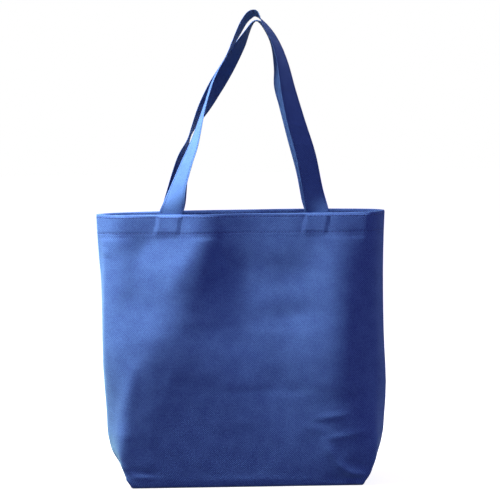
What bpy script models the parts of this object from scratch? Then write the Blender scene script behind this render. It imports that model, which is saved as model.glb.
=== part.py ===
"""A shopping tote of non-woven fabric, standing open with its two long handles held up.

Metres, +Z up. The front of the bag faces -Y and its width runs along X.
The origin is on the ground, at the middle of the bag's mouth.
The bag is one sheet folded up from the base, with its top edge turned down inside as a hem.
Each handle is a flat strap whose ends turn up under the hem's raw edge.
"""

import math

import bmesh
import bpy
from mathutils import Vector

# Driving sizes of the bag
FLAT_WIDTH = 0.410  # side seam to side seam, with the bag pressed flat
HEIGHT = 0.381
GUSSET = 0.084  # depth of the boxed base, front to back
SHEET = 0.0005  # thickness of the fabric
HEM_DEPTH = 0.029
BASE_ROUND = 0.004  # how softly the base folds up into the walls
MOUTH_FRONT = 0.029  # how far the front edge of the mouth stands from the side seams
MOUTH_BACK = 0.037
BASE_SHIFT = 0.004  # the base stands this far to the right of the mouth
BELLY_FRONT = 0.009  # how far the front wall swells out over the base
BELLY_REAR = 0.0085

# Driving sizes of the broad folds
RIDGE_OUT = 0.0080  # from the left box corner up to the left end of the front handle
VALLEY_IN = 0.0095  # from the right box corner up to the middle of the mouth
CREST_OUT = 0.0045  # upright, at the right of the front wall
REAR_RIDGE_OUT = 0.0050
REAR_VALLEY_IN = 0.0060

# Driving sizes of the handles
STRAP_WIDTH = 0.0315
STRAP_THICKNESS = 0.0014
STRAP_SPREAD = 0.102  # from the middle of a handle to the middle of each of its ends
STRAP_SHIFT = 0.0045
STRAP_TUCK = 0.016  # length of strap end that is hidden between wall and hem
STRAP_LEAN = math.radians(11)  # both ends are sewn on leaning to the right
TWIST_START = 0.030  # length above the mouth in which a limb starts to twist
FLAT_TWIST = 82  # twist in degrees of a strap that lies flat along the wall
FRONT_RISE = 0.2755  # height of each loop above the mouth
REAR_RISE = 0.2655
GAP = 0.00032  # between layers that are sewn together
POCKET_MARGIN = 0.020  # the hem stands off the wall this far beyond each strap end
POCKET_FADE = 0.014

# How finely the sheet and the straps are divided
WALL_COLUMNS = 22
FACET_COLUMNS = 3
STRAP_STEPS = 74
UP_STEPS = 15

# Sizes that follow
HALF = FLAT_WIDTH / 2
BASE_HALF_LENGTH = (FLAT_WIDTH - GUSSET) / 2
BASE_HALF_DEPTH = GUSSET / 2
MOUTH_HALF = HALF - (MOUTH_FRONT**2 + MOUTH_BACK**2) / (3 * HALF)
THIN_POCKET = SHEET + GAP
THICK_POCKET = SHEET + STRAP_THICKNESS + 2 * GAP
STRAP_INSIDE = THICK_POCKET + SHEET / 2 + GAP + STRAP_THICKNESS / 2
STRAP_POCKETED = THICK_POCKET / 2

# Each side seam: share of the height, and share of the mouth's half width.
# The lowest station is the middle of the base's short edge.
LEFT_SEAM = [(0.00, 0.0), (0.04, 0.30), (0.10, 0.66), (0.17, 0.96)]
LEFT_EDGE = [(0.17, 0.945), (0.35, 0.945), (0.54, 0.965), (0.74, 0.975), (0.88, 0.993), (1.0, 1.0)]
RIGHT_EDGE = [(0.17, 0.975), (0.35, 1.0), (0.54, 0.988), (0.74, 0.985), (0.88, 0.99), (1.0, 1.0)]

# The widths of the folds on either side of their lines, as shares of half the flat width
RIDGE_WIDTHS = (0.20, 0.26)
VALLEY_WIDTHS = (0.30, 0.26)
CREST_WIDTHS = (0.30, 0.20)
REAR_RIDGE_WIDTHS = (0.30, 0.30)
REAR_VALLEY_WIDTHS = (0.25, 0.25)

# The folds of the walls. Each station: share of the height, share of half the flat width,
# and share of the fold's full height there.
RIDGE = [
    (0.00, -0.82, 0.0),
    (0.20, -0.80, 0.5),
    (0.32, -0.755, 0.8),
    (0.42, -0.70, 0.9),
    (0.52, -0.59, 0.9),
    (0.62, -0.46, 0.9),
    (0.72, -0.385, 0.95),
    (0.83, -0.33, 1.0),
    (1.00, -0.24, 0.75),
]
VALLEY = [
    (0.00, 0.74, 0.0),
    (0.16, 0.57, 0.4),
    (0.27, 0.37, 0.75),
    (0.37, 0.25, 0.95),
    (0.47, 0.14, 1.0),
    (0.60, 0.02, 1.0),
    (0.80, -0.02, 1.0),
    (1.00, -0.01, 0.90),
]
CREST = [(0.00, 0.76, 0.0), (0.20, 0.78, 0.9), (0.50, 0.76, 1.0), (0.80, 0.74, 1.0), (1.00, 0.70, 0.5)]
REAR_RIDGE = [(0.00, 0.60, 0.0), (0.30, 0.50, 1.0), (0.70, 0.38, 1.0), (1.00, 0.34, 0.3)]
REAR_VALLEY = [(0.00, -0.15, 0.0), (0.30, -0.08, 1.0), (0.70, 0.00, 1.0), (1.00, 0.05, 0.3)]
REAR_CREST = [(0.00, -0.60, 0.0), (0.30, -0.55, 0.8), (0.60, -0.50, 1.0), (1.00, -0.45, 0.3)]

# The two loops, from the left limb over the top to the right limb.
# Each station: share of the spread, share of the rise, share of the way out from the middle
# plane that the strap has at the mouth, and the twist in degrees away from a strap that is
# draped over a bar.
FRONT_LOOP = [
    (-0.955, 0.030, 1.00, 68),
    (-0.873, 0.138, 0.98, 43),
    (-0.765, 0.247, 0.96, 31),
    (-0.652, 0.351, 0.93, 23),
    (-0.506, 0.529, 0.90, 7),
    (-0.368, 0.677, 0.84, 3),
    (-0.196, 0.783, 0.80, -2),
    (-0.025, 0.906, 0.74, -13),
    (0.069, 0.967, 0.70, -16),
    (0.190, 1.000, 0.68, -21),
    (0.285, 0.957, 0.70, 6),
    (0.437, 0.873, 0.74, 17),
    (0.549, 0.757, 0.80, 28),
    (0.630, 0.605, 0.84, 41),
    (0.725, 0.457, 0.90, 52),
    (0.853, 0.286, 0.95, 60),
    (0.941, 0.105, 0.98, 66),
]
REAR_LOOP = [
    (-0.960, 0.030, 1.00, 74),
    (-0.885, 0.170, 0.98, 48),
    (-0.815, 0.298, 0.95, 25),
    (-0.735, 0.385, 0.92, 3),
    (-0.670, 0.441, 0.90, 10),
    (-0.515, 0.548, 0.86, 32),
    (-0.352, 0.656, 0.83, 42),
    (-0.232, 0.730, 0.80, 40),
    (-0.095, 0.818, 0.74, 34),
    (0.006, 0.882, 0.68, 25),
    (0.082, 0.935, 0.64, 13),
    (0.205, 1.000, 0.60, 2),
    (0.320, 0.965, 0.62, 8),
    (0.460, 0.875, 0.67, 20),
    (0.530, 0.740, 0.76, 32),
    (0.540, 0.655, 0.82, 40),
    (0.600, 0.570, 0.86, 42),
    (0.720, 0.395, 0.92, 48),
    (0.865, 0.200, 0.97, 58),
    (0.945, 0.060, 1.00, 70),
]

# The box corners fade up the wall: the share of the height where that starts, how far up it
# goes on, and the share of the corner's depth that is lost.
FRONT_LEFT_CORNER = (0.22, 0.62, 0.70)
FRONT_RIGHT_CORNER = (0.00, 0.45, 0.40)
REAR_CORNER = (0.00, 0.32, 0.70)
LEFT_CORNER_IN = 0.18  # where a corner comes to stand, as a share in from the side seam
RIGHT_CORNER_IN = 0.11
LEFT_FULLNESS = 2.4  # how squarely the wall's outline turns into the corner
RIGHT_FULLNESS = 3.2

FABRIC_BLUE = (0.075, 0.125, 0.42, 1)
STRAP_BLUE = (0.085, 0.15, 0.46, 1)


def smooth(t):
    """Eases from 0 to 1 as t goes from 0 to 1."""
    t = min(1.0, max(0.0, t))
    return t * t * (3 - 2 * t)


def through(stations, at):
    """The values at a place along stations of (place, value, ...), on a smooth curve."""
    places = [s[0] for s in stations]
    at = min(max(at, places[0]), places[-1])
    i = max(k for k in range(len(places) - 1) if places[k] <= at)
    step = places[i + 1] - places[i]
    t = (at - places[i]) / step

    def slope(k, c):
        a, b = max(k - 1, 0), min(k + 1, len(places) - 1)
        return (stations[b][c] - stations[a][c]) / (places[b] - places[a])

    values = []
    for c in range(1, len(stations[0])):
        p, q = stations[i][c], stations[i + 1][c]
        m, n = slope(i, c) * step, slope(i + 1, c) * step
        values.append(
            p * (2 * t**3 - 3 * t**2 + 1)
            + m * (t**3 - 2 * t**2 + t)
            + q * (3 * t**2 - 2 * t**3)
            + n * (t**3 - t**2)
        )
    return values


def seam_x(share, right):
    """Where the side seam stands, at a share of the bag's height."""
    edge = RIGHT_EDGE if right else LEFT_EDGE
    shoulder = edge[0][0]
    if share >= shoulder:
        out = MOUTH_HALF * through(edge, share)[0]
    else:
        rise = through(LEFT_SEAM, share)[0]
        top = MOUTH_HALF * edge[0][1]
        foot = BASE_HALF_LENGTH + (BASE_SHIFT if right else -BASE_SHIFT)
        out = foot + (top - foot) * rise / LEFT_SEAM[-1][1]
    return out if right else -out


def fold(x, share, stations, left, right):
    """A fold's share of its full height at a place of the wall.

    left and right are its widths on either side of its line.
    """
    line, height = through(stations, share)
    away = x / HALF - line
    away /= left if away < 0 else right
    return height * math.exp(-away * away)


def front_folds(x, share):
    """How far the broad folds push the front wall out."""
    out = RIDGE_OUT * fold(x, share, RIDGE, *RIDGE_WIDTHS)
    out -= VALLEY_IN * fold(x, share, VALLEY, *VALLEY_WIDTHS)
    return out + CREST_OUT * fold(x, share, CREST, *CREST_WIDTHS)


def rear_folds(x, share):
    """The same for the rear wall, which hangs more evenly."""
    out = REAR_RIDGE_OUT * fold(x, share, REAR_RIDGE, *REAR_RIDGE_WIDTHS)
    out -= REAR_VALLEY_IN * fold(x, share, REAR_VALLEY, *REAR_VALLEY_WIDTHS)
    return out + REAR_RIDGE_OUT * fold(x, share, REAR_CREST, *REAR_RIDGE_WIDTHS)


def wall_point(across, share, rear):
    """A point of the wall's middle surface.

    across runs from -1 at the left side seam to 1 at the right one, and share is the share
    of the height.
    """
    left, right = seam_x(share, False), seam_x(share, True)
    x = left + (right - left) * (across + 1) / 2
    mouth = MOUTH_BACK if rear else MOUTH_FRONT
    swell = BELLY_REAR if rear else BELLY_FRONT
    belly = BASE_HALF_DEPTH + swell * math.sin(math.pi * min(1.0, share / 0.8))
    on_left = across < 0
    corner = corners_at(share)[0 if on_left else 1]
    start, reach_up, loss = REAR_CORNER
    if not rear:
        start, reach_up, loss = FRONT_LEFT_CORNER if on_left else FRONT_RIGHT_CORNER
    fold_depth = BASE_HALF_DEPTH * (1 - loss * smooth((share - start) / reach_up))
    fold_depth += mouth * (1 - corner * corner) * loss * smooth(share / reach_up)
    full = belly + (mouth - belly) * smooth((share - 0.40) / 0.60)
    inner = min(1.0, abs(across) / corner)
    if abs(across) >= corner:
        reach = (1 - abs(across)) / (1 - corner)
        depth = fold_depth * (reach + 0.18 * math.sin(math.pi * reach) * smooth(share / 0.5))
    else:
        fullness = LEFT_FULLNESS if on_left else RIGHT_FULLNESS
        depth = fold_depth + (full - fold_depth) * (1 - inner**fullness)
        folds = rear_folds(x, share) if rear else front_folds(x, share)
        depth += folds * smooth((1 - inner) / 0.15)
    return x, depth if rear else -depth


def corners_at(share):
    """Where the left and the right corner stand, as shares of the way out to the seams.

    At the base they are the base's own corners, and higher up they move in from the seams.
    """
    moved = smooth(share / 0.30)
    return [1 - side * moved - 0.0005 for side in (LEFT_CORNER_IN, RIGHT_CORNER_IN)]


def column_places(share):
    """Where the columns of one wall stand, from the left side seam to the right one."""
    left, right = corners_at(share)
    steps = [k / FACET_COLUMNS for k in range(FACET_COLUMNS)]
    middle = [k / WALL_COLUMNS for k in range(WALL_COLUMNS + 1)]
    return (
        [-1 + (1 - left) * k for k in steps]
        + [-left + (left + right) * k for k in middle]
        + [1 - (1 - right) * k for k in reversed(steps)]
    )


def ring_at(height):
    """The wall's outline at a height, from the left seam round the front and the rear."""
    share = height / HEIGHT
    places = column_places(share)
    front = [wall_point(a, share, False) for a in places]
    rear = [wall_point(a, share, True) for a in places]
    return front + rear[-2:0:-1]


def inset_ring(ring, offsets):
    """A ring moved inwards by an offset of its own at each point, mitred at the seams."""
    moved = []
    for i, (x, y) in enumerate(ring):
        before, after = ring[i - 1], ring[(i + 1) % len(ring)]
        a = Vector((x - before[0], y - before[1])).normalized()
        b = Vector((after[0] - x, after[1] - y)).normalized()
        normal = Vector((-(a.y + b.y), a.x + b.x)).normalized()
        along = normal.x * -a.y + normal.y * a.x
        reach = offsets[i] / max(along, 0.15)
        moved.append((x + normal.x * reach, y + normal.y * reach))
    return moved


def pocket_at(x):
    """The spacing between wall and hem, wider where a strap end is tucked between them."""
    nearest = min(abs(x - STRAP_SHIFT - STRAP_SPREAD), abs(x - STRAP_SHIFT + STRAP_SPREAD))
    clear = STRAP_WIDTH / 2 + HEM_DEPTH * math.tan(STRAP_LEAN) + POCKET_MARGIN
    thinner = smooth((nearest - clear) / POCKET_FADE)
    return THICK_POCKET + (THIN_POCKET - THICK_POCKET) * thinner


def sheet_rings():
    """The rings of the folded sheet, from the foot of the walls to the hem's raw edge."""
    rings = []
    for part in range(4):
        turn = part * math.pi / 6
        height = BASE_ROUND * (1 - math.cos(turn))
        inset = BASE_ROUND * (1 - math.sin(turn))
        rings.append([(p, height) for p in inset_ring(ring_at(0), [inset] * len(ring_at(0)))])
    hem_line = HEIGHT - HEM_DEPTH
    for step in range(1, UP_STEPS + 1):
        height = BASE_ROUND + (hem_line - BASE_ROUND) * (step / UP_STEPS) ** 1.25
        rings.append([(p, height) for p in ring_at(height)])
    rings.append([(p, hem_line + HEM_DEPTH / 2) for p in ring_at(hem_line + HEM_DEPTH / 2)])
    top = ring_at(HEIGHT)
    pockets = [pocket_at(x) for x, _ in top]
    for part in range(5):
        turn = part * math.pi / 4
        moved = inset_ring(top, [s / 2 * (1 - math.cos(turn)) for s in pockets])
        heights = [HEIGHT - s / 2 * (1 - math.sin(turn)) for s in pockets]
        rings.append(list(zip(moved, heights)))
    for part in (1, 2):
        height = HEIGHT - HEM_DEPTH * part / 2
        ring = ring_at(height)
        moved = inset_ring(ring, [pocket_at(x) for x, _ in ring])
        rings.append([(p, height) for p in moved])
    return rings


def add_object(name, bm, color, roughness):
    """Makes a named object with its own material from a bmesh."""
    bmesh.ops.recalc_face_normals(bm, faces=bm.faces)
    mesh = bpy.data.meshes.new(name)
    bm.to_mesh(mesh)
    bm.free()
    piece = bpy.data.objects.new(name, mesh)
    bpy.context.collection.objects.link(piece)
    material = bpy.data.materials.new(name + "_fabric")
    material.use_nodes = True
    shader = material.node_tree.nodes["Principled BSDF"]
    shader.inputs["Base Color"].default_value = color
    shader.inputs["Roughness"].default_value = roughness
    shader.inputs["Metallic"].default_value = 0.0
    mesh.materials.append(material)
    mesh.shade_smooth()
    mesh.set_sharp_from_angle(angle=math.radians(40))
    return piece


def make_bag():
    """The folded sheet: base, walls and hem in one piece, given its thickness last."""
    bm = bmesh.new()
    lift = SHEET / 2
    rows = [[bm.verts.new((p[0], p[1], h + lift)) for p, h in ring] for ring in sheet_rings()]
    for low, high in zip(rows, rows[1:]):
        for i in range(len(low)):
            j = (i + 1) % len(low)
            bm.faces.new((low[i], low[j], high[j], high[i]))

    foot = rows[0]
    count = len(foot)
    first, last = FACET_COLUMNS, FACET_COLUMNS + WALL_COLUMNS
    depth_steps = 2 * FACET_COLUMNS
    strips = []
    for column in range(first, last + 1):
        front = foot[column]
        rear = foot[(count - column) % count]
        if column == first:
            strips.append([foot[(first - k) % count] for k in range(depth_steps + 1)])
        elif column == last:
            strips.append([foot[last + k] for k in range(depth_steps + 1)])
        else:
            inner = [
                bm.verts.new(front.co.lerp(rear.co, k / depth_steps))
                for k in range(1, depth_steps)
            ]
            strips.append([front] + inner + [rear])
    for here, there in zip(strips, strips[1:]):
        for k in range(depth_steps):
            bm.faces.new((here[k], here[k + 1], there[k + 1], there[k]))

    bag = add_object("bag_body", bm, FABRIC_BLUE, 0.7)
    wall = bag.modifiers.new("fabric_thickness", "SOLIDIFY")
    wall.thickness = SHEET
    wall.offset = 0
    wall.use_even_offset = True
    return bag


def sewn_point(side, depth, inside, across_strap, rear):
    """A point of a strap end that lies along the wall, a depth below the mouth.

    inside is its distance from the wall's middle surface, and across_strap runs from -1 to 1
    over the strap's width.
    """
    share = 1 - depth / HEIGHT
    x = STRAP_SHIFT + side * STRAP_SPREAD - depth * math.tan(STRAP_LEAN)
    x += across_strap * STRAP_WIDTH / 2 / math.cos(STRAP_LEAN)
    left, right = seam_x(share, False), seam_x(share, True)
    across = 2 * (x - left) / (right - left) - 1
    here = Vector(wall_point(across, share, rear))
    before = Vector(wall_point(across - 0.01, share, rear))
    after = Vector(wall_point(across + 0.01, share, rear))
    run = (after - before).normalized()
    inward = Vector((run.y, -run.x)) if rear else Vector((-run.y, run.x))
    place = here + inward * inside
    return Vector((place.x, place.y, HEIGHT - depth + SHEET / 2))


def sewn_sections(side, rear):
    """The sewn end of a limb, from the hidden end round the hem's raw edge to the mouth.

    Each section is six corners: three on the side that faces +Y, then three on the other.
    """
    middle = (STRAP_INSIDE + STRAP_POCKETED) / 2
    radius = (STRAP_INSIDE - STRAP_POCKETED) / 2
    path = []
    for part in range(3):
        path.append((0.0, HEM_DEPTH - STRAP_TUCK * (1 - part / 2)))
    for part in range(1, 9):
        path.append((math.pi * part / 8, HEM_DEPTH))
    for part in range(1, 5):
        path.append((math.pi, HEM_DEPTH * (1 - part / 4)))
    face = -1 if rear else 1
    spans = (-1, 0, 1) if side < 0 else (1, 0, -1)
    sections = []
    for turn, depth in path:
        corners = []
        for layer, order in ((face, spans), (-face, spans[::-1])):
            reach = radius + layer * STRAP_THICKNESS / 2
            inside = middle - reach * math.cos(turn)
            low = depth + reach * math.sin(turn)
            corners += [sewn_point(side, low, inside, k, rear) for k in order]
        sections.append(corners)
    return sections if side < 0 else sections[::-1]


def free_sections(loop, rise, rear, start, end):
    """The corners of the strap's sections between its two places at the mouth."""
    facing = 1 if rear else -1
    mouth_out = abs(start.y)
    free = []
    for across, up, out, twist in loop:
        x = STRAP_SHIFT + STRAP_SPREAD * across
        place = Vector((x, facing * mouth_out * out, HEIGHT + rise * up))
        free.append((place, math.radians(twist)))

    places = [start] + [p for p, _ in free] + [end]
    run = [0.0]
    for a, b in zip(places, places[1:]):
        run.append(run[-1] + (b - a).length)
    path = [(s, p.x, p.y, p.z) for s, p in zip(run, places)]
    twists = [(s, t) for s, (_, t) in zip(run[1:-1], free)]

    sections = []
    for step in range(1, STRAP_STEPS):
        s = run[-1] * step / STRAP_STEPS
        here = Vector(through(path, s))
        ahead = Vector(through(path, s + 0.002))
        behind = Vector(through(path, s - 0.002))
        along = (ahead - behind).normalized()
        draped = Vector((0, facing, 0))
        draped = (draped - draped.dot(along) * along).normalized()
        aside = along.cross(Vector((0, -1, 0))).normalized()
        to_mouth = min(s, run[-1] - s)
        flat = 1 - smooth(to_mouth / TWIST_START)
        angle = through(twists, s)[0] * (1 - flat) + math.radians(FLAT_TWIST) * flat
        width = math.cos(angle) * draped + math.sin(angle) * aside
        outward = width.cross(along).normalized()
        half, thick = width * STRAP_WIDTH / 2, outward * STRAP_THICKNESS / 2
        corners = [here + k * half - thick for k in (-1, 0, 1)]
        corners += [here + k * half + thick for k in (1, 0, -1)]
        sections.append(corners)
    return sections


def strap_sections(loop, rise, rear):
    """Every section of a whole handle, from one hidden end to the other."""
    left, right = sewn_sections(-1, rear), sewn_sections(1, rear)
    start = (left[-1][1] + left[-1][4]) / 2
    end = (right[0][1] + right[0][4]) / 2
    return left + free_sections(loop, rise, rear, start, end) + right


def make_strap(name, loop, rise, rear):
    """A flat strap swept along a handle's path, six points to the section."""
    bm = bmesh.new()
    rows = []
    for corners in strap_sections(loop, rise, rear):
        rows.append([bm.verts.new(c) for c in corners])
    for low, high in zip(rows, rows[1:]):
        for i in range(len(low)):
            j = (i + 1) % len(low)
            bm.faces.new((low[i], low[j], high[j], high[i]))
    for end in (rows[0], rows[-1]):
        bm.faces.new((end[0], end[1], end[4], end[5]))
        bm.faces.new((end[1], end[2], end[3], end[4]))
    return add_object(name, bm, STRAP_BLUE, 0.6)


def build():
    for old in list(bpy.data.objects):
        bpy.data.objects.remove(old)
    make_bag()
    make_strap("front_handle", FRONT_LOOP, FRONT_RISE, False)
    make_strap("rear_handle", REAR_LOOP, REAR_RISE, True)


build()
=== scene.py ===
# %% [markdown]
# # A non-woven tote bag
# The real bag is one sheet of spunbond fabric, folded up from the base and sewn at both
# sides, with a hem round its mouth and two long handles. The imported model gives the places
# of all three pieces. This scene lays finer fabric over it, then adds thread and light.

# %% Load the frame
import math

import bmesh
import bpy
import numpy as np
from mathutils import Matrix, Vector, noise
from mathutils.bvhtree import BVHTree


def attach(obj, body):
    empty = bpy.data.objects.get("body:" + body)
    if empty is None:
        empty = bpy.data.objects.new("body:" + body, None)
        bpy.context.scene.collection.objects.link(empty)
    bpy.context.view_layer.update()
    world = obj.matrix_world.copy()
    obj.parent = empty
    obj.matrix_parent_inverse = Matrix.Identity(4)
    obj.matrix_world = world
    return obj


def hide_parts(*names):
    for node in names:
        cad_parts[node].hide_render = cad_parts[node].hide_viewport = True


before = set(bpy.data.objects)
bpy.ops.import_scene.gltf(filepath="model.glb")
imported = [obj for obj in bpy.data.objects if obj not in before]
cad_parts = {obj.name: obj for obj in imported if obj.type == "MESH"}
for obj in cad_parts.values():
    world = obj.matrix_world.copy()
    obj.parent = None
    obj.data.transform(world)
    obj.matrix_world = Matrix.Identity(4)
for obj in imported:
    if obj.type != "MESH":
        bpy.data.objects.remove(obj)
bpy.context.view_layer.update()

# %% [markdown]
# The photograph was taken from a little above the bag with a long lens, so that its sides
# hardly narrow. The camera is turned by less than a degree about its own line of sight,
# because the bag's mouth rises slightly to the right.

# %% Place the camera
CAMERA_AWAY = 2.6
CAMERA_ABOVE = math.radians(6.5)
CAMERA_ROLL = math.radians(0.9)
LENS = 134.2
aim = Vector((0.0125, 0, 0.3276))

look = Vector((0, math.cos(CAMERA_ABOVE), -math.sin(CAMERA_ABOVE)))
camera_data = bpy.data.cameras.new("camera")
camera_data.lens = LENS
camera_data.sensor_width = 36
camera_data.dof.use_dof = False
camera = bpy.data.objects.new("camera", camera_data)
bpy.context.scene.collection.objects.link(camera)
turned = look.to_track_quat("-Z", "Y").to_matrix() @ Matrix.Rotation(-CAMERA_ROLL, 3, "Z")
camera.matrix_world = Matrix.Translation(aim - look * CAMERA_AWAY) @ turned.to_4x4()
bpy.context.scene.camera = camera
print("The camera stands", CAMERA_AWAY, "m away, at", tuple(round(c, 3) for c in camera.location))

# %% [markdown]
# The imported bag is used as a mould, as a shop window form is used for a dress. Rays are
# cast on it from outside, towards the middle of the bag, and where they first meet it is
# the outer face of the fabric. In the hem, rays from the inside find the hem's face.

# %% Cast rays on the mould
RAYS = 720
half = RAYS // 2
REACH = Vector((0.200, 0.045, 0))  # the outline is about this far from the middle
MOUTH = 0.370  # a height in the hem


def mould(node):
    """The surface of a CAD node, ready for rays."""
    bm = bmesh.new()
    bm.from_mesh(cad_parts[node].data)
    tree = BVHTree.FromBMesh(bm)
    bm.free()
    return tree


bag_mould = mould("bag_body")


def ray_way(k):
    """The level direction of one ray. Ray 0 points left, and the next ones turn to the front."""
    turn = 2 * math.pi * k / RAYS
    return Vector((-REACH.x * math.cos(turn), -REACH.y * math.sin(turn), 0))


def outline(height, inside, surface=bag_mould):
    """A surface's outline at a height, from the left seam round the front and the rear."""
    points = []
    centre = Vector((0.002, 0, height))
    for k in range(RAYS):
        way = ray_way(k)
        if inside:
            hit = surface.ray_cast(centre, way)[0]
        else:
            hit = surface.ray_cast(centre + way * 2, -way)[0]
        points.append(hit)
    return points


def halves(ring):
    """The front part and the rear part of an outline, both from left to right."""
    return ring[: half + 1], [ring[0]] + ring[:half - 1:-1]


def run_along(line):
    """How far each point of a line is from its start, measured along the line."""
    return np.concatenate([[0], np.cumsum(np.linalg.norm(np.diff(line, axis=0), axis=1))])


def read_at(line, run, at):
    """A line's points, or the directions kept with them, at the given distances along it."""
    return np.stack([np.interp(at, run, line[:, k]) for k in range(3)], axis=1)


def evenly(points, count):
    """The same line with its points an equal distance apart."""
    line = np.array(points)
    run = run_along(line)
    return read_at(line, run, np.linspace(0, run[-1], count + 1))


mouth = outline(MOUTH, False)
print("Rays per outline:", RAYS, " width at the mouth:", round(mouth[half].x - mouth[0].x, 4))

# %% [markdown]
# Now the rows of the sheet are read from the mould, from the raw edge of the hem, over the
# fold at the mouth and down the wall to the base. Every row has the same number of points,
# equally far apart, because the fabric doesn't stretch.

# %% Read the rows of the sheet
COLUMNS = 146
CORNER = 15  # columns from a side seam to the corner of the boxed base
HEIGHT = 0.381
HEM_DEPTH = 0.029
SHEET = 0.0005
FOLD_START = 0.0022  # the mouth's fold starts this far below its top
HEM_LINE = 0.3490  # above this height the rows are closer, because the hem is sewn there
BASE_LINE = 0.012  # below this height they are closer too, because the wall turns in there
HEM_ROWS, BAND_ROWS, WALL_ROWS = 12, 24, 104  # inside the hem, outside it, and below it
BASE_HEIGHTS = [0.0085, 0.0058, 0.0040, 0.0024, 0.0012, 0.0004]


def row_at(height, inside=False):
    """One row of the sheet: its front part and its rear part, both from left to right."""
    front, rear = (evenly(part, COLUMNS) for part in halves(outline(height, inside)))
    rear[0], rear[-1] = front[0], front[-1]
    return front, rear


hem_heights = np.linspace(HEIGHT - HEM_DEPTH + 0.0003, HEIGHT - FOLD_START, HEM_ROWS)
wall_heights = np.concatenate([
    np.linspace(HEIGHT - FOLD_START, HEM_LINE, BAND_ROWS),
    np.linspace(HEM_LINE, BASE_LINE, WALL_ROWS + 1)[1:],
    BASE_HEIGHTS,
])
hem_rows = [row_at(h, True) for h in hem_heights]
wall_rows = [row_at(h) for h in wall_heights]

fold_rows = []
for turn in (math.radians(a) for a in (135, 90, 45)):
    pair = []
    for inner, outer in zip(hem_rows[-1], wall_rows[0]):
        middle = (inner + outer) / 2
        over = middle + (outer - middle) * math.cos(turn)
        over[:, 2] = HEIGHT - FOLD_START + (FOLD_START + SHEET / 2) * math.sin(turn)
        pair.append(over)
    fold_rows.append(pair)

rows = hem_rows + fold_rows + wall_rows
for part in rows[-1]:
    part[:, 2] = 0.0
print("Rows of one panel:", len(rows), " columns:", COLUMNS)

# %% [markdown]
# The sheet is cut flat first: one grid, as wide as the bag and long enough for both walls,
# the base and two hems. The corners beside the base are cut out, as a sewer boxes them.
# Each point keeps its place on the flat cut as its UV, so that the fabric's pattern runs
# unbroken over every fold.

# %% Cut the sheet flat and lay it on the mould
FLAT_WIDTH = 0.410
GUSSET = 0.084
base_rows = 2 * CORNER
all_rows = 2 * (len(rows) - 1) + base_rows

# the flat length from the raw edge at each row of a panel
along = [0.0]
middle_column = COLUMNS // 2
for a, b in zip(rows, rows[1:]):
    along.append(along[-1] + float(np.linalg.norm(b[0][middle_column] - a[0][middle_column])))
panel_length = along[-1]

bag_bm = bmesh.new()
bmesh.ops.create_grid(bag_bm, x_segments=COLUMNS, y_segments=all_rows, size=1)
uv_layer = bag_bm.loops.layers.uv.new("cut")


def place_in_grid(co):
    """The column and row of a point of the flat grid, which runs from -1 to 1."""
    return round((co.x + 1) / 2 * COLUMNS), round((co.y + 1) / 2 * all_rows)


front_foot = len(rows) - 1
rear_foot = front_foot + base_rows
cut_out = []
for face in bag_bm.faces:
    spots = [place_in_grid(v.co) for v in face.verts]
    in_base = all(front_foot <= r <= rear_foot for _, r in spots)
    outside = all(c <= CORNER for c, _ in spots) or all(c >= COLUMNS - CORNER for c, _ in spots)
    if in_base and outside:
        cut_out.append(face)
bmesh.ops.delete(bag_bm, geom=cut_out, context="FACES")


def laid(column, row):
    """Where a point of the flat cut comes to lie on the mould."""
    if row <= front_foot:
        return Vector(rows[row][0][column])
    if row >= rear_foot:
        return Vector(rows[all_rows - row][1][column])
    step = row - front_foot
    left = step <= base_rows // 2
    near = CORNER - step if left else step - CORNER
    side = 0 if left else 1
    if column <= CORNER:
        return Vector(rows[-1][side][near])
    if column >= COLUMNS - CORNER:
        return Vector(rows[-1][side][COLUMNS - near])
    front, rear = rows[-1][0][column], rows[-1][1][column]
    return Vector(front + (rear - front) * step / base_rows)


def flat_place(column, row):
    """The same point on the flat cut, in metres from one corner of it."""
    if row <= front_foot:
        v = along[row]
    elif row >= rear_foot:
        v = 2 * panel_length + GUSSET - along[all_rows - row]
    else:
        v = panel_length + GUSSET * (row - front_foot) / base_rows
    return FLAT_WIDTH * column / COLUMNS, v


spots = {v: place_in_grid(v.co) for v in bag_bm.verts}
for face in bag_bm.faces:
    for loop in face.loops:
        loop[uv_layer].uv = flat_place(*spots[loop.vert])
for vert, spot in spots.items():
    vert.co = laid(*spot)
print("Faces of the cut sheet:", len(bag_bm.faces))

# %% [markdown]
# The broad shape comes from the mould, whose facets show as flat patches, so the walls are
# relaxed first. That takes the facets off and leaves the broad folds. The hem, the seams and
# the lowest rows keep their places.

# %% Relax the walls
RELAX_ROUNDS = 14

hem_count = len(hem_rows) + len(fold_rows)
walls = {"front": [], "rear": []}
for vert, (column, row) in spots.items():
    from_edge = min(row, all_rows - row)
    if 0 < column < COLUMNS and hem_count < from_edge < front_foot - len(BASE_HEIGHTS):
        walls["front" if row < front_foot else "rear"].append(vert)
for _ in range(RELAX_ROUNDS):
    bmesh.ops.smooth_vert(
        bag_bm, verts=walls["front"] + walls["rear"], factor=0.5,
        use_axis_x=True, use_axis_y=True, use_axis_z=True,
    )
print("Points that were relaxed:", {side: len(found) for side, found in walls.items()})
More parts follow.
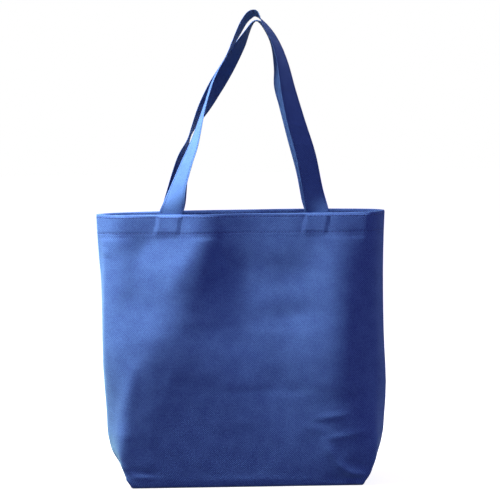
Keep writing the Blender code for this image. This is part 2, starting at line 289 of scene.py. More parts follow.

# %% [markdown]
# Cloth hangs slack between its seams, keeps the creases that it was packed with, and is pulled at by each
# sewn place. The broad folds matter most: the light comes from the side, so they make the large light and
# dark areas of the wall. A cloth simulation could make folds, but not these ones. So each fold is listed,
# as a line on a wall with a width and with the distance that it stands out, or hangs in where that is
# negative. 14 of the 19 rows of FRONT_SLACK were first found by a fitting program, from the light and dark
# areas of the photograph, and were then rounded and retouched. The other five were listed one by one.

# %% List the folds of the front
# each: x and height of both ends, the width, and how far it stands out, in millimetres
FRONT_SLACK = [
    (-146, 301, -168, 89, 24, 3.2),
    (-32, 368, -68, 272, 17, 2.9),
    (-59, 303, -178, 181, 46, 3.2),
    (-4, 409, -4, 181, 29, -3.2),
    (18, 270, 34, 93, 48, -2.8),
    (140, 350, 136, 150, 30, 3.0),
    (52, 339, 58, 174, 42, -3.4),
    (-101, 153, 18, 119, 48, -3.2),
    (-148, 169, -176, 48, 10, 3.2),
    (168, 378, 131, 50, 38, 3.2),
    (127, 121, 157, 20, 48, 3.2),
    (76, 350, 70, 190, 26, -2.4),
    (-104, 72, 73, 76, 48, -3.2),
    (-139, 326, -185, 242, 18, 1.6),
    (-65, 313, -148, 279, 34, 2.9),
    (-194, 330, -196, 60, 30, 8.0),
    (-50, 385, -62, 330, 14, 1.8),
    (-62, 330, -95, 280, 15, 1.8),
    (128, 360, 124, 240, 22, 2.0),
]
FRONT_CREASES = [
    (-160, 384, -164, 290, 17, 1.8),  # a soft bulge to the left of the left strap end
    (-130, 352, -145, 312, 9, -1.0),
    (-97, 350, -127, 280, 18, 1.4),  # the wall that the left strap end pulls up
    (-58, 352, -88, 300, 20, 1.2),
    (29, 236, 124, 247, 12, -1.1),  # a packing fold across the right half
    (20, 262, 100, 270, 13, 0.8),
    (174, 382, 170, 340, 6, 0.9),  # the corner fold at the right end of the mouth
    (-127, 225, 124, 224, 4, -0.30),
    (-57, 136, 124, 134, 5, -0.35),
    (96, 95, 145, 103, 4.5, 1.3),  # three pulls near the right box corner
    (78, 88, 118, 78, 7, 0.8),
    (114, 67, 165, 77, 4.5, 1.2),
    (112, 62, 130, 33, 6, 1.9),  # the crease that runs into the right box corner
    (130, 33, 142, 21, 5, 2.6),
    (142, 21, 170, 9, 5, 3.0),
    (148, 34, 176, 24, 7, -1.4),
    (197, 84, 190, 58, 5, 0.7),
    (-203, 334, -178, 326, 4, 0.9),  # small pulls at the left side seam
    (-203, 345, -190, 341, 3.5, 0.7),
    (-200, 318, -186, 313, 4, 0.5),
    (-129, 90, -129, 34, 6, 0.5),
    (-164, 27, -122, 19, 5, -1.2),  # the box seam at the left
    (-152, 14, -118, 11, 6, 1.8),
    (-168, 32, -158, 24, 4, 0.9),
]
print("Folds of the front:", len(FRONT_SLACK), " creases:", len(FRONT_CREASES))

# %% [markdown]
# The photograph doesn't show the rear. Its folds are of the same kinds and sizes, and none
# of them repeats one of the front.

# %% List the folds of the rear
REAR_SLACK = [
    (150, 310, 165, 100, 26, 2.6),
    (60, 360, 40, 230, 34, -2.4),
    (-20, 300, -60, 130, 44, 2.6),
    (-150, 330, -155, 120, 28, 2.2),
    (110, 140, -60, 90, 46, -2.4),
]
REAR_CREASES = [
    (-150, 226, 140, 222, 4, -0.35),
    (-140, 135, 60, 138, 5, -0.40),
    (-165, 25, -120, 55, 6, 1.4),
    (165, 22, 128, 60, 6, 1.5),
    (-120, 55, -60, 150, 12, 1.2),
    (128, 60, 75, 170, 14, 1.4),
    (30, 330, 60, 250, 16, 1.5),
    (-60, 345, -20, 270, 14, -1.2),
    (110, 350, 130, 290, 12, 1.3),
    (-118, 350, -140, 300, 12, 1.3),
    (-90, 100, -40, 92, 5, 0.8),
    (60, 96, 108, 108, 5, 0.9),
    (185, 330, 160, 322, 4, 0.8),
    (-190, 200, -168, 190, 5, 0.7),
]
print("Folds of the rear:", len(REAR_SLACK), " creases:", len(REAR_CREASES))

# %% [markdown]
# The folds are pressed in one by one, as a sculptor would do with a finger. A fold fades out
# along its line and to its sides. In the hem the cloth lies in layers: it stands out a little
# over the strap ends, and each row of stitches pulls it in. A push inwards stops below the
# hem, because the strap ends lie close behind the wall there.

# %% Press in the folds
UNEVEN = ((14, 1.0), (45, 0.35))  # small unevenness: how fine, and how far in millimetres
OUT_FADE = (0.345, 0.006)  # from this height, and over so much, a push outwards fades
IN_FADE = (0.300, 0.049)  # the same for a push inwards
HEM_SHARE = 0.75  # how much of a push the stiff hem takes on
HEM_INWARD = -0.15  # the most that the hem is pushed in, in millimetres
BASE_FADE = (0.002, 0.02)
SEAM_FADE = (0.200, 0.016)  # a push is gone at the side seams
TOP_FADE = (0.0012, 0.0016)  # and at the fold of the mouth
STITCH_ROWS = (0.3770, 0.3552)  # the heights of the two rows of stitches round the hem
STRAP_MIDDLES = (-0.0975, 0.1065)  # where the middle of each strap end crosses the mouth
STRAP_LEAN = math.radians(11)  # how far a strap end leans from upright
STRAP_HALF = 0.0161  # half of a strap's width, measured level
HEM_STEP = 0.28  # the doubled hem stands out by this much, in millimetres
ROW_DEPTH = 0.38  # a row of stitches pulls it in
STRAP_BULGE = 0.95  # a strap end behind it pushes it out
STRAP_GROOVE = 0.60  # beside the strap end it sinks back
EDGE = 0.0016  # how far the strap end's edge is softened


def smooth(t):
    """Eases from 0 to 1 as t goes from 0 to 1."""
    t = min(1.0, max(0.0, t))
    return t * t * (3 - 2 * t)


def pressed(verts, creases):
    """How far the creases of a wall push each of its points out, in millimetres."""
    at = np.array([(v.co.x, v.co.z) for v in verts]) * 1000
    push = np.zeros(len(verts))
    for x0, h0, x1, h1, width, out in creases:
        run = np.array((x1 - x0, h1 - h0))
        off = at - (x0, h0)
        t = np.clip(off @ run / (run @ run), 0, 1)
        away = np.linalg.norm(off - t[:, None] * run, axis=1)
        push += out * np.exp(-((away / width) ** 2)) * (1 - 0.6 * (2 * t - 1) ** 2)
    return push


def hem_relief(x, height):
    """How far the layers inside the hem push the wall out, in millimetres."""
    out = HEM_STEP * smooth((height - 0.3485) / 0.0040)
    for row in STITCH_ROWS:
        out -= ROW_DEPTH * math.exp(-(((height - row) / 0.0012) ** 2))
    for middle in STRAP_MIDDLES:
        away = abs(x - middle + (HEIGHT - height) * math.tan(STRAP_LEAN))
        over = smooth((height - 0.3480) / 0.011)
        out += STRAP_BULGE * over * smooth((STRAP_HALF + EDGE - away) / (2 * EDGE))
        out -= STRAP_GROOVE * over * math.exp(-(((away - STRAP_HALF - EDGE) / EDGE) ** 2))
    return out


wall_folds = {"front": FRONT_SLACK + FRONT_CREASES, "rear": REAR_SLACK + REAR_CREASES}
for side, creases in wall_folds.items():
    verts = walls[side]
    bag_bm.normal_update()
    for vert, push in zip(verts, pressed(verts, creases)):
        x, _, height = vert.co
        push += sum(out * noise.noise(vert.co * fine) for fine, out in UNEVEN)
        start, blend = OUT_FADE if push > 0 else IN_FADE
        in_hem = smooth((height - start) / blend)
        push = push * (1 - in_hem) + max(push * HEM_SHARE, HEM_INWARD) * in_hem
        push *= smooth((height - BASE_FADE[0]) / BASE_FADE[1])
        push *= smooth((SEAM_FADE[0] - abs(x)) / SEAM_FADE[1])
        push += hem_relief(x, height)
        push *= smooth((HEIGHT - TOP_FADE[0] - height) / TOP_FADE[1])
        facing = -1 if side == "front" else 1
        way = vert.normal if vert.normal.y * facing > 0 else -vert.normal
        vert.co = vert.co + way * push / 1000
    print("The", side, "wall has", len(creases), "folds and creases")

# %% [markdown]
# The two side seams pull the cloth in along one line. Now the front and the rear meet, and
# the doubled points along the seams are joined.

# %% Sew the sides together
SEAM_PINCH = 0.0009

for vert, (column, row) in spots.items():
    if column in (0, COLUMNS) and min(row, all_rows - row) < front_foot:
        vert.co.x -= math.copysign(SEAM_PINCH * smooth(vert.co.z / 0.03), vert.co.x)
bmesh.ops.remove_doubles(bag_bm, verts=bag_bm.verts, dist=1e-5)
bmesh.ops.recalc_face_normals(bag_bm, faces=bag_bm.faces)
outward = max(bag_bm.faces, key=lambda f: abs(f.calc_center_median().y))
if outward.normal.y * outward.calc_center_median().y < 0:
    bmesh.ops.reverse_faces(bag_bm, faces=bag_bm.faces)
bag_bm.normal_update()
bag_surface = BVHTree.FromBMesh(bag_bm)
print("Points after sewing:", len(bag_bm.verts), " open edges:", sum(e.is_boundary for e in bag_bm.edges))

# %% [markdown]
# The sheet gets its half millimetre of thickness inwards from its face.

# %% Make the bag
def add_piece(name, mesh, node=None):
    """A piece of the bag with a mesh of its own, in place of a CAD node if one is named."""
    mesh.shade_smooth()
    piece = bpy.data.objects.new(name, mesh)
    bpy.context.scene.collection.objects.link(piece)
    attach(piece, "root")
    if node:
        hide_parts(node)
    return piece


def mesh_of(name, bm):
    """The mesh that a bmesh has become, when the work on it is over."""
    mesh = bpy.data.meshes.new(name)
    bm.to_mesh(mesh)
    bm.free()
    return mesh


def thicken(piece, name, thickness, offset):
    """Gives a sheet its thickness."""
    layer = piece.modifiers.new(name, "SOLIDIFY")
    layer.thickness = thickness
    layer.offset = offset


bag = add_piece("tote_bag", mesh_of("tote_bag", bag_bm), "bag_body")
thicken(bag, "fabric_thickness", SHEET, -1)
print("Points of the bag's sheet:", len(bag.data.vertices))

# %% [markdown]
# A handle is a strip folded over and over until it is a flat strap, and its two folded
# edges are sewn down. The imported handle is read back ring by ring: its hidden end is its
# only face that lies level and looks up, and each next ring is what touches the last one.

# %% Read the handles' sections
def sections(node):
    """The centre and half the width, as vectors, of each ring of points along a handle."""
    bm = bmesh.new()
    bm.from_mesh(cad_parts[node].data)
    bmesh.ops.remove_doubles(bm, verts=bm.verts, dist=1e-6)
    bm.verts.index_update()
    level = [f for f in bm.faces if f.normal.z > 0.999 and f.calc_center_median().x < 0]
    ring = {v for f in level for v in f.verts}
    seen, found, before = set(), [], Vector((1, 0, 0))
    while ring:
        seen |= ring
        own = {e for v in ring for e in v.link_edges if e.other_vert(v) in ring}
        narrow = sorted(own, key=lambda e: e.calc_length())[:2]
        one, two = ((e.verts[0].co + e.verts[1].co) / 2 for e in narrow)
        width = (two - one) / 2
        if width.dot(before) < 0:
            width = -width
        in_order = sorted(ring, key=lambda v: v.index)  # so that every run adds up the same
        centre = sum((v.co for v in in_order), Vector()) / len(ring)
        found.append((centre, width))
        before = width
        ring = {e.other_vert(v) for v in ring for e in v.link_edges} - seen
    bm.free()
    return found


for node in ("front_handle", "rear_handle"):
    widths = [2 * width.length for _, width in sections(node)]
    print(node, "has", len(widths), "rings,", round(min(widths), 4), "to", round(max(widths), 4), "m wide")

# %% [markdown]
# The finer strap is swept through the same sections. Its edges are round, because they are
# folds, a shallow groove runs where the thread pulls the layers together, and on its inner
# face the last fold of the strip ends in a low step. Small creases run over it aslant.

# %% Sweep the straps
STRAP_WIDTH = 0.0315
STRAP_THICKNESS = 0.0014
STRAP_STEP = 0.0025
EDGE_STITCH = 0.0029  # from a strap's edge to its row of stitches
AROUND = 56
LAP = 0.0035  # where the strip's raw edge lies, from the middle of the strap
FREE_FROM = 0.055  # closer to its ends than this, a strap lies flat in the hem

# each: length and place across of both ends, the width and the depth, in millimetres
FRONT_STRAP_CREASES = [
    (517, 12, 528, -12, 2.6, 0.55),
    (531, 12, 541, -11, 2.4, -0.50),
    (545, 11, 552, -8, 2.6, 0.45),
    (470, 13, 478, -4, 3.0, -0.45),
    (418, -13, 426, 6, 2.6, 0.5),
    (396, 10, 404, -12, 2.4, -0.6),
    (300, 12, 292, -10, 3.0, 0.5),
    (214, -12, 224, 10, 3.2, -0.4),
    (120, -10, 132, 12, 3.4, 0.35),
]
REAR_STRAP_CREASES = [
    (250, -12, 262, 10, 3.0, 0.5),
    (330, 12, 338, -12, 2.6, -0.5),
    (398, -12, 407, 9, 2.4, 0.6),
    (455, 12, 466, -10, 3.0, -0.5),
    (540, -8, 552, 12, 3.0, 0.4),
]


def along_path(node):
    """The strap's places at equal steps: centre, width direction, normal, and length."""
    found = sections(node)
    centres = np.array([c for c, _ in found])
    widths = np.array([w for _, w in found])
    run = run_along(centres)
    count = int(run[-1] / STRAP_STEP)
    at = np.linspace(0, run[-1], count + 1)
    centre, width = read_at(centres, run, at), read_at(widths, run, at)
    for values in (centre, width):
        for _ in range(3):  # the ends, which lie in the hem, stay as they are
            values[8:-8] = (values[7:-9] + 2 * values[8:-8] + values[9:-7]) / 4
    places = []
    for k in range(count + 1):
        ahead, behind = min(k + 1, count), max(k - 1, 0)
        way = Vector(centre[ahead] - centre[behind]).normalized()
        side = Vector(width[k])
        side = (side - side.dot(way) * way).normalized()
        places.append((Vector(centre[k]), side, side.cross(way).normalized(), at[k]))
    return places


def profile(turn):
    """A point of the strap's section, as its place across and its place in thickness."""
    flat = STRAP_WIDTH / 2 - STRAP_THICKNESS / 2
    c, s = math.cos(turn), math.sin(turn)
    across = flat * math.copysign(abs(c) ** 0.75, c) + STRAP_THICKNESS / 2 * c
    lift = STRAP_THICKNESS / 2 * math.copysign(abs(s) ** 0.45, s)
    groove = math.exp(-(((abs(across) - STRAP_WIDTH / 2 + EDGE_STITCH) / 0.0011) ** 2))
    step = 0.35 * smooth((across - LAP) / 0.0012) if s < 0 else 0
    return across, lift * (1 - 0.25 * groove - step)


def creased(creases, across, length):
    """How far a strap's creases bend it off its plane at a place."""
    bend = 0.0
    for s0, a0, s1, a1, width, depth in creases:
        run_s, run_a = s1 - s0, a1 - a0
        off_s, off_a = length * 1000 - s0, across * 1000 - a0
        t = min(1.0, max(0.0, (off_s * run_s + off_a * run_a) / (run_s**2 + run_a**2)))
        away = math.hypot(off_s - t * run_s, off_a - t * run_a)
        bend += depth * math.exp(-((away / width) ** 2))
    bend += 0.30 * noise.noise(Vector((across * 50, length * 28, 0)))
    return bend / 1000


def strap(name, node, creases):
    """A finer strap through a CAD handle's sections."""
    places = along_path(node)
    steps = len(places) - 1
    total = places[-1][3]
    bm = bmesh.new()
    bmesh.ops.create_grid(bm, x_segments=AROUND, y_segments=steps, size=1)
    uv = bm.loops.layers.uv.new("cut")
    where = {}
    for vert in bm.verts:
        turn = math.pi * (vert.co.x + 1)
        centre, side, normal, length = places[round((vert.co.y + 1) / 2 * steps)]
        across, lift = profile(turn)
        free = smooth((min(length, total - length) - FREE_FROM) / 0.02)
        bend = creased(creases, across, length) * free
        where[vert] = (across, length)
        vert.co = centre + side * across + normal * (lift + bend)
    for face in bm.faces:
        for loop in face.loops:
            across, length = where[loop.vert]
            loop[uv].uv = (across + STRAP_WIDTH, length)
    bmesh.ops.remove_doubles(bm, verts=bm.verts, dist=1e-6)
    ends = [e for e in bm.edges if e.is_boundary]
    bmesh.ops.holes_fill(bm, edges=ends, sides=0)
    bmesh.ops.recalc_face_normals(bm, faces=bm.faces)
    surface = BVHTree.FromBMesh(bm)
    piece = add_piece(name, mesh_of(name, bm), node)
    print(name, "is", round(total, 3), "m long, with", len(piece.data.polygons), "faces")
    return piece, places, surface


front_strap, front_places, front_surface = strap("front_strap", "front_handle", FRONT_STRAP_CREASES)
rear_strap, rear_places, rear_surface = strap("rear_strap", "rear_handle", REAR_STRAP_CREASES)

# %% [markdown]
# The real bag was sewn inside out, so the cut edges of its side seams stand inside as two
# narrow double strips, and one more lies along each end of the base, where the corner was
# boxed. From above they are seen in the open bag.

# %% Add the seam allowances inside
ALLOWANCE = 0.008
ALLOWANCE_THICKNESS = 0.0011
OFF_WALL = 0.0013  # from the wall to the root of a side strip
SIDE_SLANT = 0.42  # a side strip leans over to the rear
OFF_END = 0.0035  # from the end of the base to the root of a box strip
OFF_BASE = 0.0022  # and how high it stands
BOX_RISE = 0.0009


def seam_strip(name, line, inward, waves):
    """A double strip of cloth that stands inward from a line of points."""
    bm = bmesh.new()
    steps = len(line) - 1
    bmesh.ops.create_grid(bm, x_segments=6, y_segments=steps, size=1)
    uv = bm.loops.layers.uv.new("cut")
    lengths = run_along(np.array(line))
    where = {}
    for vert in bm.verts:
        k = round((vert.co.y + 1) / 2 * steps)
        out = (vert.co.x + 1) / 2
        where[vert] = (out * ALLOWANCE, lengths[k])
        way, droop = inward[k]
        ripple = waves * noise.noise(Vector((lengths[k] * 30, 3, out)))
        vert.co = line[k] + way * ALLOWANCE * out + droop * (0.0016 * out**2 + ripple * out)
    for face in bm.faces:
        for loop in face.loops:
            loop[uv].uv = where[loop.vert]
    piece = add_piece(name, mesh_of(name, bm))
    thicken(piece, "two_layers", ALLOWANCE_THICKNESS, 0)
    return piece


strips, strip_lines = [], []
for side, name in ((-1, "left"), (1, "right")):
    line, inward = [], []
    for height in np.linspace(0.012, HEIGHT - HEM_DEPTH - 0.002, 90):
        start = Vector((side * 0.10, 0, height))
        hit = bag_surface.ray_cast(start, Vector((side, 0, 0)))[0]
        ring = outline(height, False, bag_surface)
        seam = ring[0] if side < 0 else ring[half]
        way = Vector((-side, SIDE_SLANT, 0)).normalized()
        line.append(Vector((hit.x - side * OFF_WALL, seam.y, height)))
        inward.append((way, Vector((0, 1, 0))))
    strips.append(seam_strip(name + "_seam_allowance", line, inward, 0.0011))
    strip_lines.append((line, inward))
    foot = rows[-1]
    base_line, base_inward = [], []
    for k in range(1, 2 * CORNER):
        part = 0 if k <= CORNER else 1
        column = CORNER - k if part == 0 else k - CORNER
        corner = Vector(foot[part][column if side < 0 else COLUMNS - column])
        rise = BOX_RISE * min(1.0, k / 2, (2 * CORNER - k) / 2)
        base_line.append(corner + Vector((-side * OFF_END, 0, OFF_BASE + rise)))
        base_inward.append((Vector((-side, 0, 0.12)).normalized(), Vector((0, 0, 1))))
    strips.append(seam_strip(name + "_box_allowance", base_line, base_inward, 0.0008))
    strip_lines.append((base_line, base_inward))
print("Seam allowances:", [s.name for s in strips])

# %% [markdown]
# Every seam is a lockstitch: the thread comes up through a needle hole, lies on the cloth
# for a few millimetres and goes down again. One stitch is one short bent curve, and a row of
# them is laid along a line on the cloth. The sewn rows then become a mesh, because every
# point of a curve has a radius of its own, one metre at first, that counts in its bounds.

# %% Thread the needle
THREAD = 0.00044  # thickness
# the points of a stitch: how far along it, and how high, in thicknesses of the thread
STITCH = ((0.06, -0.5), (0.22, 0.42), (0.50, 0.60), (0.78, 0.42), (0.94, -0.5))


def thread_reel():
    """An empty curve that rows of stitches are added to."""
    data = bpy.data.curves.new("reel", "CURVE")
    data.dimensions = "3D"
    data.bevel_depth = THREAD / 2
    data.bevel_resolution = 1
    data.use_fill_caps = True
    reel = bpy.data.objects.new("reel", data)
    bpy.context.scene.collection.objects.link(reel)
    return reel


def cut_off(reel, name):
    """Turns the sewn rows of a reel into a piece with a mesh of its own."""
    stitches = len(reel.data.splines)
    solid = reel.evaluated_get(bpy.context.evaluated_depsgraph_get())
    mesh = bpy.data.meshes.new_from_object(solid)
    bpy.data.objects.remove(reel)
    print(name, "has", stitches, "stitches and", len(mesh.polygons), "faces")
    return add_piece(name, mesh)


def sew(reel, line, outward, stitches):
    """Lays a number of stitches along a line, on the side of the cloth that outward tells."""
    line, outward = np.array(line), np.array(outward)
    run = run_along(line)
    pitch = run[-1] / stitches
    shares, lifts = np.array(STITCH).T
    for k in range(stitches):
        at = (k + shares) * pitch
        places = read_at(line, run, at) + read_at(outward, run, at) * lifts[:, None] * THREAD
        spline = reel.data.splines.new("POLY")
        spline.points.add(len(STITCH) - 1)
        for point, place in zip(spline.points, places):
            point.co = (*place, 1)


print("Points in one stitch:", len(STITCH))

# %% [markdown]
# Two rows run round the hem. They show outside, and inside too, where they also hold the
# strap ends down.

# %% Sew the hem
HEM_STITCHES = 86  # along one panel


def level_normals(line, middle):
    """Level directions that point away from a middle point, square to a level line."""
    ways = []
    for k in range(len(line)):
        run = Vector(line[min(k + 1, len(line) - 1)] - line[max(k - 1, 0)])
        way = Vector((run.y, -run.x, 0)).normalized()
        if way.dot(Vector(line[k]) - middle) < 0:
            way = -way
        ways.append(way)
    return ways


hem_reel = thread_reel()
for height in STITCH_ROWS:
    middle = Vector((0, 0, height))
    for part in halves(outline(height, False, bag_surface)):
        line = evenly(part, 4 * HEM_STITCHES)
        sew(hem_reel, line, level_normals(line, middle), HEM_STITCHES)

    # inside, the thread lies on whatever is nearest: the hem, or a strap end on the hem
    inner = []
    for k in range(RAYS):
        way = ray_way(k).normalized()
        hits = [s.ray_cast(middle, way) for s in (bag_surface, front_surface, rear_surface)]
        near = min((h for h in hits if h[0]), key=lambda h: h[3])
        inner.append(near[0])
    for part in halves(inner):
        line = evenly(part, 4 * HEM_STITCHES)
        inside = [-way for way in level_normals(line, middle)]
        sew(hem_reel, line, inside, HEM_STITCHES)
hem_thread = cut_off(hem_reel, "hem_thread")

# %% [markdown]
# Each strap is sewn near both of its edges, and the stitches show on both of its faces. They
# stop short of its ends, which the hem's own rows hold.

# %% Sew the straps
STRAP_PITCH = 0.0038
CLEAR = 0.0022  # a ray starts this far off the strap's middle layer

strap_reel = thread_reel()
for places, surface in ((front_places, front_surface), (rear_places, rear_surface)):
    for edge in (-1, 1):
        for face in (-1, 1):
            line, outward = [], []
            for centre, side, normal, _ in places[8:-8]:
                start = centre + side * edge * (STRAP_WIDTH / 2 - EDGE_STITCH)
                hit = surface.ray_cast(start + normal * face * CLEAR, -normal * face, 0.003)[0]
                if hit:
                    line.append(hit)
                    outward.append(normal * face)
            sew(strap_reel, line, outward, round(run_along(np.array(line))[-1] / STRAP_PITCH))
strap_thread = cut_off(strap_reel, "strap_thread")

# %% [markdown]
# The last rows close the side seams and the box corners. They lie on both faces of the seam
# allowances, so only someone who looks into the bag sees them.

# %% Sew the seams
SEAM_PITCH = 0.0042
SEAM_IN = 0.0030  # from the wall to the row of stitches

seam_reel = thread_reel()
for line, inward in strip_lines:
    length = run_along(np.array(line))[-1]
    for face in (-1, 1):
        path, outward = [], []
        for place, (way, droop) in zip(line, inward):
            across = (droop - droop.dot(way) * way).normalized()
            path.append(place + way * SEAM_IN + across * face * ALLOWANCE_THICKNESS / 2)
            outward.append(across * face)
        sew(seam_reel, path, outward, round(length / SEAM_PITCH))
seam_thread = cut_off(seam_reel, "seam_thread")

# %% [markdown]

# %% [markdown]
# Spunbond fabric is a mat of fine fibres, welded together in small points that stand in a
# diagonal grid. The points are pressed in, and the fibres between them give a soft sheen.
# A photograph of fabric could be used as a texture. Waves and noise on the flat cut do it
# without one, at any size, and they follow the cloth over each fold.

# %% Mix the fabric's material
BOND_PITCH = 0.0030  # between bond points, along the cloth and across it
HOLE = 0.0009  # how wide a needle hole is
# the needle holes' colour is painted shade: the dark inside a hole
HOLE_SHADE = (0.010, 0.014, 0.06, 1)
SPECKS = {"fibre": (900, 3), "fleck": (420, 2), "cloud": (55, 4)}  # scale and detail
SHARES = {"fibre": 0.25, "fleck": 0.45, "cloud": 0.30}  # of each in the colour
POINT_SHARE = 0.20


def fabric(name, base, dark, roughness, seams):
    """A non-woven fabric: bond points, fibres, needle holes painted dark with their shade, and a slow
    change of colour.

    seams tells where the needle holes are: the axis that counts across the rows of stitches,
    the whole length of that axis, the rows' places on it, and the pitch along a row.
    """
    material = bpy.data.materials.new(name)
    material.use_nodes = True
    nodes, links = material.node_tree.nodes, material.node_tree.links
    shader = nodes["Principled BSDF"]
    place = nodes.new("ShaderNodeUVMap")
    place.uv_map = "cut"

    def calc(kind, *values):
        """A Math node, with numbers or other nodes' outputs as its inputs."""
        node = nodes.new("ShaderNodeMath")
        node.operation = kind
        for socket, value in zip(node.inputs, values):
            if isinstance(value, (int, float)):
                socket.default_value = value
            else:
                links.new(value, socket)
        return node.outputs[0]

    def speckle(scale, detail):
        """Noise on the flat cut."""
        node = nodes.new("ShaderNodeTexNoise")
        node.inputs["Scale"].default_value = scale
        node.inputs["Detail"].default_value = detail
        links.new(place.outputs["UV"], node.inputs["Vector"])
        return node.outputs["Fac"]

    # the bond points: two waves that cross, so that the points stand in a diagonal grid
    cut = nodes.new("ShaderNodeSeparateXYZ")
    links.new(place.outputs["UV"], cut.inputs[0])
    waves = [calc("SINE", calc("MULTIPLY", cut.outputs[k], 2 * math.pi / BOND_PITCH)) for k in (0, 1)]
    points = calc("MULTIPLY", *waves)
    specks = {kind: speckle(*sizes) for kind, sizes in SPECKS.items()}

    # the needle holes: small dots at the ends of the stitches, pressed in and painted dark as the shade in
    # them
    axis, whole, rows_at, stitch = seams
    over = calc("MINIMUM", cut.outputs[axis], calc("SUBTRACT", whole, cut.outputs[axis]))
    on_row = 0.0
    for row in rows_at:
        on_row = calc("ADD", calc("COMPARE", over, row, HOLE / 2), on_row)
    turns = calc("FRACT", calc("MULTIPLY_ADD", cut.outputs[1 - axis], 1 / stitch, 0.5))
    holes = calc("MULTIPLY", on_row, calc("COMPARE", turns, 0.5, HOLE / stitch))

    height = calc("ADD", calc("MULTIPLY", points, 0.8), calc("ADD", specks["fibre"], specks["fleck"]))
    height = calc("SUBTRACT", height, calc("MULTIPLY", holes, 2.0))
    bump = nodes.new("ShaderNodeBump")
    bump.inputs["Strength"].default_value = 0.5
    bump.inputs["Distance"].default_value = 0.0004
    links.new(height, bump.inputs["Height"])
    links.new(bump.outputs["Normal"], shader.inputs["Normal"])

    mixed = calc("MULTIPLY", points, POINT_SHARE)
    for kind, share in SHARES.items():
        mixed = calc("MULTIPLY_ADD", specks[kind], share, mixed)
    ramp = nodes.new("ShaderNodeValToRGB")
    ramp.color_ramp.elements[0].position = 0.40
    ramp.color_ramp.elements[0].color = dark
    ramp.color_ramp.elements[1].position = 0.60
    ramp.color_ramp.elements[1].color = base
    links.new(mixed, ramp.inputs["Fac"])
    # the needle holes are painted dark, as the shade in them
    hole_shading = nodes.new("ShaderNodeMix")
    hole_shading.data_type = "RGBA"
    links.new(holes, hole_shading.inputs["Factor"])
    links.new(ramp.outputs["Color"], hole_shading.inputs["A"])
    hole_shading.inputs["B"].default_value = HOLE_SHADE
    links.new(hole_shading.outputs["Result"], shader.inputs["Base Color"])

    uneven = calc("MULTIPLY_ADD", specks["fibre"], 0.16, roughness - 0.08)
    links.new(uneven, shader.inputs["Roughness"])
    shader.inputs["Specular IOR Level"].default_value = 0.06
    shader.inputs["Specular Tint"].default_value = (0.55, 0.90, 1.0, 1)
    shader.inputs["Sheen Weight"].default_value = 0.55
    shader.inputs["Sheen Roughness"].default_value = 0.4
    shader.inputs["Sheen Tint"].default_value = (0.42, 0.78, 1.00, 1)
    print(name, "has", len(nodes), "nodes")
    return material


# %% [markdown]
# The needle holes follow the rows of stitches, so each row's place on the flat cut is needed,
# as a distance from the raw edge of the hem: once on the wall, and once on the hem behind it.

# %% Find the stitch rows on the flat cut
outer = range(len(rows) - 1, hem_count - 1, -1)  # from the base up, so that the heights rise
outer_heights = [rows[r][0][middle_column][2] for r in outer]
outer_rows = [float(np.interp(h, outer_heights, [along[r] for r in outer])) for h in STITCH_ROWS]
inner_rows = [float(np.interp(h, hem_heights, along[: len(hem_heights)])) for h in STITCH_ROWS]
bag_seams = (1, 2 * panel_length + GUSSET, outer_rows + inner_rows, FLAT_WIDTH / HEM_STITCHES)
strap_seams = (0, 2 * STRAP_WIDTH, [STRAP_WIDTH / 2 + EDGE_STITCH], STRAP_PITCH)
print("Stitch rows on the flat cut:", [round(v, 4) for v in outer_rows + inner_rows])

# %% [markdown]
# The thread is polyester of nearly the fabric's own blue, twisted from plies that show as fine bands. The
# straps lie in more layers and were pressed, so they are a little smoother. Their blue is the bag's,
# painted about a fifth darker as shade, so that the key lamp doesn't light them too bright.

# %% Dye the fabric and the thread
BAG_BLUES = ((0.108, 0.212, 0.52, 1), (0.054, 0.100, 0.33, 1))  # between the points, and in them
# the straps' blues: the bag's, painted about a fifth darker between the points as shade
STRAP_SHADED_BLUES = ((0.082, 0.170, 0.42, 1), (0.054, 0.108, 0.31, 1))
THREAD_BLUES = ((0.045, 0.085, 0.30, 1), (0.085, 0.155, 0.48, 1))

bag_fabric = fabric("bag_fabric", *BAG_BLUES, 0.62, bag_seams)
strap_fabric = fabric("strap_fabric", *STRAP_SHADED_BLUES, 0.60, strap_seams)
thread_blue = bpy.data.materials.new("thread_blue")
thread_blue.use_nodes = True
nodes, links = thread_blue.node_tree.nodes, thread_blue.node_tree.links
thread_place = nodes.new("ShaderNodeTexCoord")
plies = nodes.new("ShaderNodeTexWave")
plies.inputs["Scale"].default_value = 900
plies.inputs["Distortion"].default_value = 1.5
links.new(thread_place.outputs["Object"], plies.inputs["Vector"])
ply_ramp = nodes.new("ShaderNodeValToRGB")
for element, blue in zip(ply_ramp.color_ramp.elements, THREAD_BLUES):
    element.color = blue
links.new(plies.outputs["Fac"], ply_ramp.inputs["Fac"])
links.new(ply_ramp.outputs["Color"], nodes["Principled BSDF"].inputs["Base Color"])
nodes["Principled BSDF"].inputs["Roughness"].default_value = 0.55
nodes["Principled BSDF"].inputs["Specular IOR Level"].default_value = 0.3

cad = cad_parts
finishes = {
    bag_fabric: [bag, *strips, cad["bag_body"]],
    strap_fabric: [front_strap, rear_strap, cad["front_handle"], cad["rear_handle"]],
    thread_blue: [hem_thread, strap_thread, seam_thread],
}
for finish, pieces in finishes.items():
    for piece in pieces:
        piece.data.materials.clear()
        piece.data.materials.append(finish)
print("Materials:", [m.name for m in bpy.data.materials])

# %% [markdown]
# The light is that of a plain studio. The surround is dim and bluish, so that the shadows
# are, and it is white only where the camera, a gloss or a glass sees it.

# %% Set up the surround
SURROUND = (0.55, 0.44, 1.0, 1)
SURROUND_STRENGTH = 0.46


def seen_directly(nodes, links):
    """1 where a surface or the surround is looked at, and 0 where it only sends light."""
    path = nodes.new("ShaderNodeLightPath")
    seen = path.outputs["Is Camera Ray"]
    for other in ("Is Glossy Ray", "Is Transmission Ray"):
        either = nodes.new("ShaderNodeMath")
        either.operation = "MAXIMUM"
        links.new(seen, either.inputs[0])
        links.new(path.outputs[other], either.inputs[1])
        seen = either.outputs[0]
    return seen


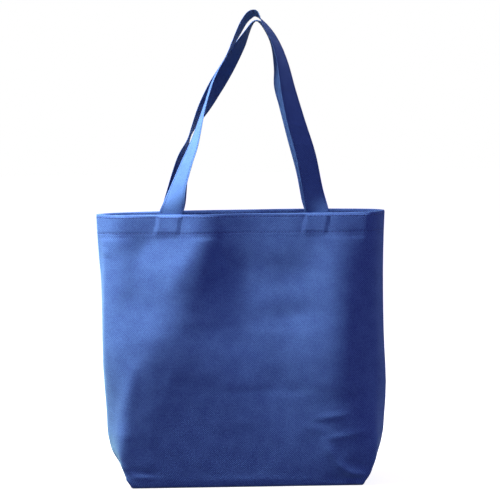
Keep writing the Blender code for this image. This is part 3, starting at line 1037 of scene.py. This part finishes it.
world = bpy.data.worlds.new("studio")
bpy.context.scene.world = world
world.use_nodes = True
nodes, links = world.node_tree.nodes, world.node_tree.links
dim = nodes["Background"]
dim.inputs["Color"].default_value = SURROUND
dim.inputs["Strength"].default_value = SURROUND_STRENGTH
white = nodes.new("ShaderNodeBackground")
white.inputs["Color"].default_value = (1, 1, 1, 1)
white.inputs["Strength"].default_value = 1.0
mix = nodes.new("ShaderNodeMixShader")
links.new(seen_directly(nodes, links), mix.inputs["Fac"])
links.new(dim.outputs[0], mix.inputs[1])
links.new(white.outputs[0], mix.inputs[2])
links.new(mix.outputs[0], nodes["World Output"].inputs["Surface"])
print("The surround's colour:", SURROUND[:3], " strength:", SURROUND_STRENGTH)

# %% [markdown]
# The key light is one round soft box, to the left of the bag and above it, and almost in the
# plane of its front. Light that only grazes the wall is what makes its low folds show. Two
# weak, very soft lamps keep the right side and the rear from going black.

# %% Light the bag
KEY_PLACE = Vector((-0.53, -0.095, 1.06))
KEY_TARGET = Vector((0, 0, 0.25))
KEY_POWER = 30
KEY_SIZE = 0.36
KEY_COLOUR = (0.97, 1.0, 0.92)


def towards(direction):
    """The turn that makes a lamp shine against a direction."""
    return direction.to_track_quat("Z", "Y").to_matrix().to_4x4()


def sky_lamp(name, azimuth, elevation, strength, softness):
    """A soft lamp far away, at an azimuth to the left of the front and an elevation."""
    data = bpy.data.lights.new(name, "SUN")
    data.energy = strength
    data.angle = math.radians(softness)
    lamp = bpy.data.objects.new(name, data)
    a, e = math.radians(azimuth), math.radians(elevation)
    away = Vector((-math.sin(a) * math.cos(e), -math.cos(a) * math.cos(e), math.sin(e)))
    lamp.matrix_world = towards(away)
    bpy.context.scene.collection.objects.link(lamp)


key = bpy.data.lights.new("key", "AREA")
key.shape = "DISK"
key.size = KEY_SIZE
key.energy = KEY_POWER
key.color = KEY_COLOUR
key_lamp = bpy.data.objects.new("key", key)
key_lamp.matrix_world = Matrix.Translation(KEY_PLACE) @ towards(KEY_PLACE - KEY_TARGET)
bpy.context.scene.collection.objects.link(key_lamp)
sky_lamp("fill", -100, 5, 0.22, 60)
sky_lamp("top", 170, 50, 0.15, 40)
print("Lamps:", [light.name for light in bpy.data.lights])

# %% [markdown]
# The floor is plain. To the camera it is a mix of its own glow and of grey paint: together
# they are white, and where the bag keeps light from the paint they show a soft shadow. For
# all other light it is dark, so that it throws little back on the bag.

# %% Lay the floor
FLOOR_DROP = 0.0004  # just below the bag's base
FLOOR_GLOW = 0.89

floor_bm = bmesh.new()
bmesh.ops.create_grid(floor_bm, x_segments=2, y_segments=2, size=6)
bmesh.ops.translate(floor_bm, verts=floor_bm.verts, vec=(0, 0, -FLOOR_DROP))
floor = bpy.data.objects.new("floor", mesh_of("floor", floor_bm))
bpy.context.scene.collection.objects.link(floor)
floor_paint = bpy.data.materials.new("floor_paint")
floor_paint.use_nodes = True
nodes, links = floor_paint.node_tree.nodes, floor_paint.node_tree.links
nodes.clear()
plain = nodes.new("ShaderNodeBsdfDiffuse")
plain.inputs["Color"].default_value = (0.06, 0.06, 0.06, 1)
shadowed = nodes.new("ShaderNodeBsdfDiffuse")
shadowed.inputs["Color"].default_value = (0.5, 0.5, 0.5, 1)
glow = nodes.new("ShaderNodeEmission")
glow.inputs["Strength"].default_value = FLOOR_GLOW
both = nodes.new("ShaderNodeAddShader")
links.new(shadowed.outputs[0], both.inputs[0])
links.new(glow.outputs[0], both.inputs[1])
mix = nodes.new("ShaderNodeMixShader")
links.new(seen_directly(nodes, links), mix.inputs["Fac"])
links.new(plain.outputs[0], mix.inputs[1])
links.new(both.outputs[0], mix.inputs[2])
output = nodes.new("ShaderNodeOutputMaterial")
links.new(mix.outputs[0], output.inputs["Surface"])
floor.data.materials.append(floor_paint)
print("The floor lies", FLOOR_DROP, "m below the bag")

# %% [markdown]
# Colours are shown as they are, without a film look.

# %% Finish
bpy.context.scene.view_settings.view_transform = "Standard"
